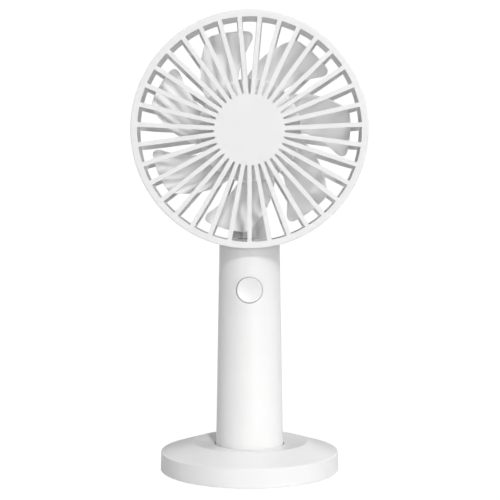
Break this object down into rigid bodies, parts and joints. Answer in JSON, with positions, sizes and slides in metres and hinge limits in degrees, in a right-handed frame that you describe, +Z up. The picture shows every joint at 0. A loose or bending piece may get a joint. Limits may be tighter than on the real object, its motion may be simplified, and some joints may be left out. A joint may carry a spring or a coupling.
{
  "type": "handheld electric fan",
  "caption": "White handheld electric fan with a round radial-spoke grille, a straight tapered handle with one round button, standing in a round weighted table base.",
  "frame": {"origin": "centre of the round base on the surface that the fan stands on", "axes": "+Z up along the handle, the fan blows towards -Y, +X to the right as seen from the front"},
  "size_m": [0.1028, 0.08, 0.2035],
  "materials": {
    "white_plastic": "fine satin white ABS",
    "blade_plastic": "smooth glossy white ABS",
    "inner_plastic": "plain moulded light grey ABS",
    "steel": "bright zinc-plated steel",
    "magnet": "dark sintered magnet",
    "copper": "enamelled copper wire",
    "brass": "turned brass",
    "board": "green solder mask on glass-epoxy board",
    "black_plastic": "black moulded nylon",
    "cell_wrap": "blue heat-shrink sleeve over the cell's can",
    "red_wire": "red wire insulation",
    "black_wire": "black wire insulation",
    "light_pipe": "clear moulded light pipe",
    "rubber": "grey non-slip silicone rubber"
  },
  "bodies": {
    "base": {"base_shell": "white_plastic", "base_socket": "white_plastic", "base_weight": "steel", "base_bottom": "white_plastic", "base_foot_ring": "rubber", "base_screw_1": "steel", "base_screw_2": "steel", "base_screw_3": "steel"},
    "handle_unit": {"front_grille": "white_plastic", "grille_skirt": "white_plastic", "rear_housing": "white_plastic", "rear_shoulder": "white_plastic", "rear_cage": "white_plastic", "wire_channel_cover": "white_plastic", "bearing_tube": "brass", "bearing_front": "steel", "bearing_rear": "steel", "stator_core": "steel", "coil_1": "copper", "coil_2": "copper", "coil_3": "copper", "coil_4": "copper", "coil_5": "copper", "coil_6": "copper", "motor_board": "board", "handle_tube": "white_plastic", "neck_screw_left": "steel", "neck_screw_right": "steel", "switch_body": "black_plastic", "main_board": "board", "usb_socket": "steel", "charge_led": "light_pipe", "inner_frame": "inner_plastic", "battery_cell": "cell_wrap", "battery_tab_positive": "steel", "battery_tab_negative": "steel", "battery_lead_positive": "red_wire", "battery_lead_negative": "black_wire", "motor_lead_positive": "red_wire", "motor_lead_negative": "black_wire", "bottom_cap": "white_plastic", "cap_screw_left": "steel", "cap_screw_right": "steel"},
    "impeller_unit": {"impeller": "blade_plastic", "rotor_yoke": "steel", "magnet_ring": "magnet", "motor_shaft": "steel", "shaft_clip": "steel"},
    "button_unit": {"power_button": "white_plastic", "switch_plunger": "black_plastic"}
  },
  "joints": [
    {"name": "handle_lift", "type": "slide", "parent": "base", "child": "handle_unit", "axis": [0, 0, 1], "range_m": [0, 0.03]},
    {"name": "impeller_spin", "type": "hinge", "parent": "handle_unit", "child": "impeller_unit", "pos_m": [0, 0, 0.152], "axis": [0, 1, 0], "continuous": true},
    {"name": "button_press", "type": "slide", "parent": "handle_unit", "child": "button_unit", "axis": [0, 1, 0], "range_m": [0, 0.0006], "stiffness_N_per_m": 200}
  ]
}
